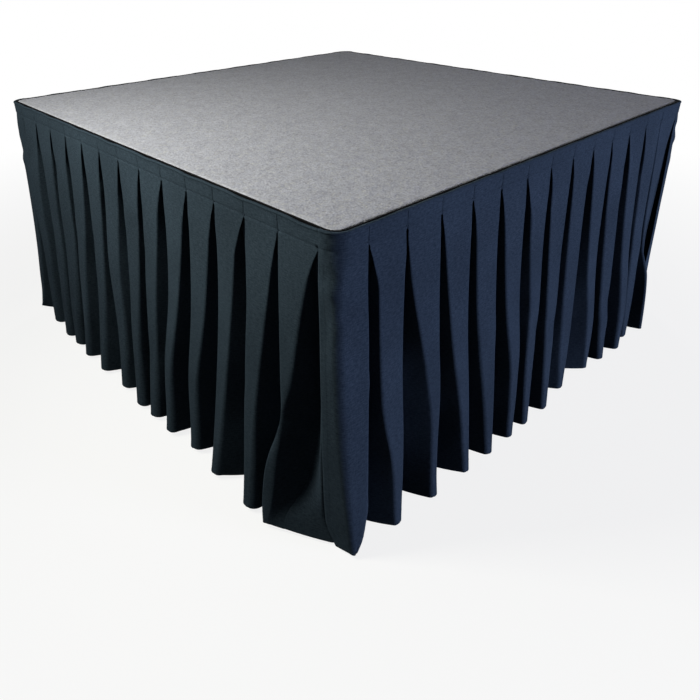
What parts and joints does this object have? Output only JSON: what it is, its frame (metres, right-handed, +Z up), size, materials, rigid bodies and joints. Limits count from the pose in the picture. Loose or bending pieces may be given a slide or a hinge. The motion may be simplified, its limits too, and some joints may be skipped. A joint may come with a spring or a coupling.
{
  "type": "stage riser platform",
  "caption": "Square carpeted stage riser with a box-pleated skirt on every side, hinged leg frames that fold flat, slotted braces with lock knobs, and levelling feet.",
  "frame": {"origin": "floor level, under the middle of the platform", "axes": "+Z up, +X to the right and -Y out of the front face; the picture's near corner is at -X and -Y"},
  "size_m": [1.3324, 1.3324, 0.61],
  "materials": {
    "carpet": "grey loop pile with dark and light flecks",
    "plywood": "sealed birch plywood",
    "black_trim": "black anodised",
    "loop_tape": "napped loop pile",
    "header_cloth": "matte woven polyester, stitched",
    "skirt_cloth": "matte woven polyester, pressed box pleats",
    "zinc_steel": "bright zinc plate",
    "bracket_steel": "dull zinc plate",
    "black_plastic": "fine moulded grain",
    "foot_rubber": "moulded, matte",
    "frame_steel": "black powder coat"
  },
  "bodies": {
    "platform": {"carpet": "carpet", "deck_panel": "plywood", "front_edge_trim": "black_trim", "right_edge_trim": "black_trim", "back_edge_trim": "black_trim", "left_edge_trim": "black_trim", "trim_corners": "black_trim", "loop_tape": "loop_tape", "front_rail": "frame_steel", "back_rail": "frame_steel", "left_rail": "frame_steel", "right_rail": "frame_steel", "left_bearer": "frame_steel", "right_bearer": "frame_steel", "centre_joist": "frame_steel", "deck_screws": "zinc_steel", "left_hinge_brackets": "bracket_steel", "right_hinge_brackets": "bracket_steel", "hinge_bolts": "zinc_steel", "left_brace_tracks": "bracket_steel", "right_brace_tracks": "bracket_steel", "track_screws": "zinc_steel", "front_header": "header_cloth", "right_header": "header_cloth", "back_header": "header_cloth", "left_header": "header_cloth", "front_skirt": "skirt_cloth", "right_skirt": "skirt_cloth", "back_skirt": "skirt_cloth", "left_skirt": "skirt_cloth"},
    "left_legs": {"left_front_leg": "frame_steel", "left_back_leg": "frame_steel", "left_stretcher": "frame_steel", "left_brace_ears": "frame_steel", "left_leg_plugs": "black_plastic"},
    "left_braces": {"left_braces": "zinc_steel", "left_brace_pins": "zinc_steel"},
    "left_front_knob": {"left_front_knob": "black_plastic"},
    "left_front_foot": {"left_front_stem": "zinc_steel", "left_front_pad": "foot_rubber"},
    "left_back_knob": {"left_back_knob": "black_plastic"},
    "left_back_foot": {"left_back_stem": "zinc_steel", "left_back_pad": "foot_rubber"},
    "right_legs": {"right_front_leg": "frame_steel", "right_back_leg": "frame_steel", "right_stretcher": "frame_steel", "right_brace_ears": "frame_steel", "right_leg_plugs": "black_plastic"},
    "right_braces": {"right_braces": "zinc_steel", "right_brace_pins": "zinc_steel"},
    "right_front_knob": {"right_front_knob": "black_plastic"},
    "right_front_foot": {"right_front_stem": "zinc_steel", "right_front_pad": "foot_rubber"},
    "right_back_knob": {"right_back_knob": "black_plastic"},
    "right_back_foot": {"right_back_stem": "zinc_steel", "right_back_pad": "foot_rubber"}
  },
  "joints": [
    {"name": "left_legs_fold", "type": "hinge", "parent": "platform", "child": "left_legs", "pos_m": [-0.5395, 0, 0.50597], "axis": [0, -1, 0], "range_deg": [0, 90]},
    {"name": "left_braces_fold", "type": "hinge", "parent": "left_legs", "child": "left_braces", "pos_m": [-0.4882, 0, 0.36502], "axis": [0, 1, 0], "range_deg": [0, 180]},
    {"name": "left_front_knob_turn", "type": "hinge", "parent": "left_braces", "child": "left_front_knob", "pos_m": [-0.43689, -0.5145, 0.50597], "axis": [0, 1, 0], "continuous": true},
    {"name": "left_front_foot_level", "type": "slide", "parent": "left_legs", "child": "left_front_foot", "axis": [0, 0, -1], "range_m": [0, 0.015]},
    {"name": "left_back_knob_turn", "type": "hinge", "parent": "left_braces", "child": "left_back_knob", "pos_m": [-0.43689, 0.5145, 0.50597], "axis": [0, -1, 0], "continuous": true},
    {"name": "left_back_foot_level", "type": "slide", "parent": "left_legs", "child": "left_back_foot", "axis": [0, 0, -1], "range_m": [0, 0.015]},
    {"name": "right_legs_fold", "type": "hinge", "parent": "platform", "child": "right_legs", "pos_m": [0.5395, 0, 0.50597], "axis": [0, 1, 0], "range_deg": [0, 90]},
    {"name": "right_braces_fold", "type": "hinge", "parent": "right_legs", "child": "right_braces", "pos_m": [0.4882, 0, 0.36502], "axis": [0, -1, 0], "range_deg": [0, 180]},
    {"name": "right_front_knob_turn", "type": "hinge", "parent": "right_braces", "child": "right_front_knob", "pos_m": [0.43689, -0.5145, 0.50597], "axis": [0, 1, 0], "continuous": true},
    {"name": "right_front_foot_level", "type": "slide", "parent": "right_legs", "child": "right_front_foot", "axis": [0, 0, -1], "range_m": [0, 0.015]},
    {"name": "right_back_knob_turn", "type": "hinge", "parent": "right_braces", "child": "right_back_knob", "pos_m": [0.43689, 0.5145, 0.50597], "axis": [0, -1, 0], "continuous": true},
    {"name": "right_back_foot_level", "type": "slide", "parent": "right_legs", "child": "right_back_foot", "axis": [0, 0, -1], "range_m": [0, 0.015]}
  ],
  "couplings": [
    {"joint": "left_braces_fold", "follows": "left_legs_fold", "ratio": 2},
    {"joint": "right_braces_fold", "follows": "right_legs_fold", "ratio": 2}
  ]
}
